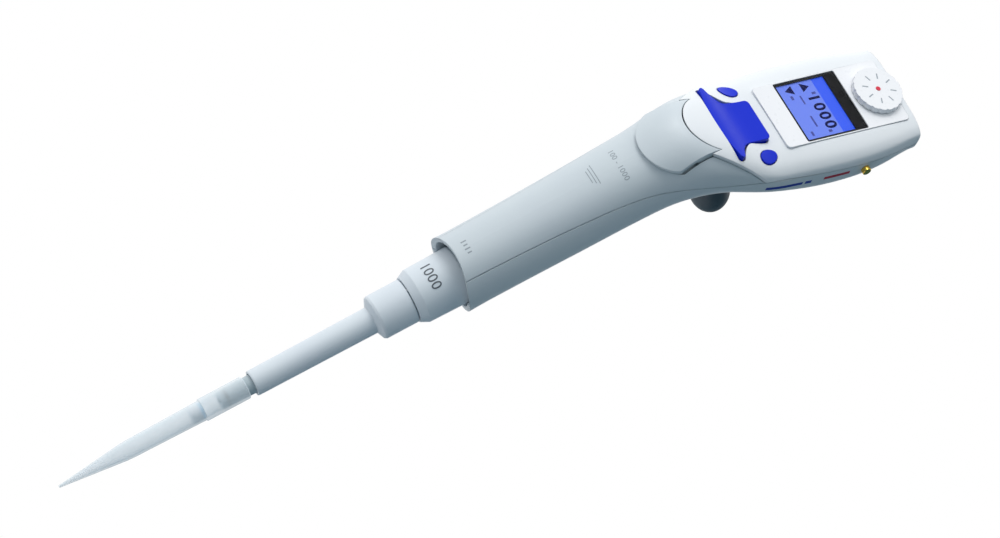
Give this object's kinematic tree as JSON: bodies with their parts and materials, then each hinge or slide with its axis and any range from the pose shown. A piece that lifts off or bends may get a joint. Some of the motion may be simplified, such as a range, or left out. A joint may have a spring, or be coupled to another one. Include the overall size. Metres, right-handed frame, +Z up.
{
  "type": "electronic pipette",
  "caption": "Upright motor-driven laboratory pipette with tilted display head, rocker and soft keys, selection dial, thumb ejector hood, finger hook and a fitted filter tip.",
  "frame": {"origin": "on the tube axis, level with the underside of the finger hook, which a stand holds", "axes": "+Z up the tube axis from the tip to the head, -Y is the display side, +X is right seen from the display side"},
  "size_m": [0.0472, 0.0658, 0.3197],
  "materials": {
    "housing_grey": "fine moulded texture",
    "housing_white": "satin",
    "hook_slate": "satin",
    "shaft_grey": "fine moulded texture",
    "cone_grey": "satin",
    "steel": "ground",
    "bronze": "sintered",
    "copper": "enamelled wire",
    "black_plastic": "matt",
    "panel_white": "smooth",
    "window_clear": "clear, polished",
    "lcd_blue": "lit display",
    "backlight_white": "diffuser",
    "marker_red": "smooth",
    "key_blue": "satin",
    "board_green": "solder mask",
    "dome_steel": "bright",
    "jack_black": "matt",
    "battery_grey": "shrink sleeve",
    "contact_gold": "gold plated",
    "spring_steel": "drawn wire",
    "tip_clear": "translucent polypropylene",
    "filter_white": "sintered fibre",
    "filter_blue": "sintered fibre",
    "piston_white": "polished",
    "seal_rubber": "smooth"
  },
  "bodies": {
    "root": {"handle_front_shell": "housing_grey", "rear_shell": "housing_grey", "head_front_shell": "housing_white", "finger_hook": "hook_slate", "lower_barrel": "shaft_grey", "barrel_cap": "cone_grey", "guide_rods": "steel", "lower_bearing": "bronze", "upper_bearing": "bronze", "stator_coils": "copper", "motor_case": "steel", "motor_flange": "black_plastic", "motor_bracket": "steel", "motor_screws": "steel", "label_panel": "panel_white", "display_bezel": "black_plastic", "display_window": "window_clear", "lcd_panel": "lcd_blue", "backlight": "backlight_white", "dial_encoder": "black_plastic", "rocker_pin": "steel", "key_board": "board_green", "key_domes": "dome_steel", "main_board": "board_green", "board_parts": "black_plastic", "power_jack": "jack_black", "battery": "battery_grey", "battery_terminals": "contact_gold", "charging_contacts": "contact_gold", "head_screws": "steel", "cone_spring": "spring_steel", "ejector_spring": "spring_steel"},
    "ejector": {"ejector_hood": "housing_grey", "ejector_rod": "steel", "ejector_carriage": "black_plastic", "ejector_sleeve": "shaft_grey"},
    "cone": {"tip_cone": "cone_grey", "cone_ring": "seal_rubber"},
    "tip": {"tip_body": "tip_clear", "filter_white": "filter_white", "filter_blue": "filter_blue"},
    "rotor": {"rotor": "steel"},
    "piston": {"piston": "piston_white", "piston_seal": "seal_rubber", "piston_carrier": "black_plastic", "lead_screw": "steel"},
    "rocker": {"rocker_key": "key_blue"},
    "softkey_left": {"softkey_left": "key_blue"},
    "softkey_right": {"softkey_right": "key_blue"},
    "dial": {"selection_dial": "panel_white", "dial_marker": "marker_red"},
    "battery_cover": {"battery_cover": "housing_grey"}
  },
  "joints": [
    {"name": "ejector_press", "type": "slide", "parent": "root", "child": "ejector", "axis": [0, 0, -1], "range_m": [0, 0.006], "stiffness_N_per_m": 300, "springref_m": -0.01, "deforming": ["ejector_spring"]},
    {"name": "cone_yield", "type": "slide", "parent": "root", "child": "cone", "axis": [0, 0, 1], "range_m": [0, 0.002], "stiffness_N_per_m": 900, "springref_m": -0.005, "deforming": ["cone_spring"]},
    {"name": "tip_release", "type": "slide", "parent": "cone", "child": "tip", "axis": [0, 0, -1], "range_m": [0, 0.006]},
    {"name": "rotor_spin", "type": "hinge", "parent": "root", "child": "rotor", "pos_m": [0, 0, -0.023], "axis": [0, 0, 1], "range_deg": [0, 3600]},
    {"name": "piston_lift", "type": "slide", "parent": "root", "child": "piston", "axis": [0, 0, 1], "range_m": [0, 0.02]},
    {"name": "rocker_tilt", "type": "hinge", "parent": "root", "child": "rocker", "pos_m": [0, 0.00183, 0.01861], "axis": [1, 0, 0], "range_deg": [-4, 4], "stiffness_Nm_per_rad": 0.4},
    {"name": "softkey_left_press", "type": "slide", "parent": "root", "child": "softkey_left", "axis": [0, 0.8695, -0.4939], "range_m": [0, 0.0008], "stiffness_N_per_m": 700, "springref_m": -0.001},
    {"name": "softkey_right_press", "type": "slide", "parent": "root", "child": "softkey_right", "axis": [0, 0.8695, -0.4939], "range_m": [0, 0.0008], "stiffness_N_per_m": 700, "springref_m": -0.001},
    {"name": "dial_turn", "type": "hinge", "parent": "root", "child": "dial", "pos_m": [0, 0.03011, 0.07143], "axis": [0, -0.8695, 0.4939], "continuous": true},
    {"name": "battery_cover_slide", "type": "slide", "parent": "root", "child": "battery_cover", "axis": [0, 0.4939, 0.8695], "range_m": [0, 0.03]}
  ],
  "couplings": [
    {"joint": "tip_release", "follows": "ejector_press", "ratio": 1},
    {"joint": "piston_lift", "follows": "rotor_spin", "m_per_rad": 0.00031831}
  ]
}
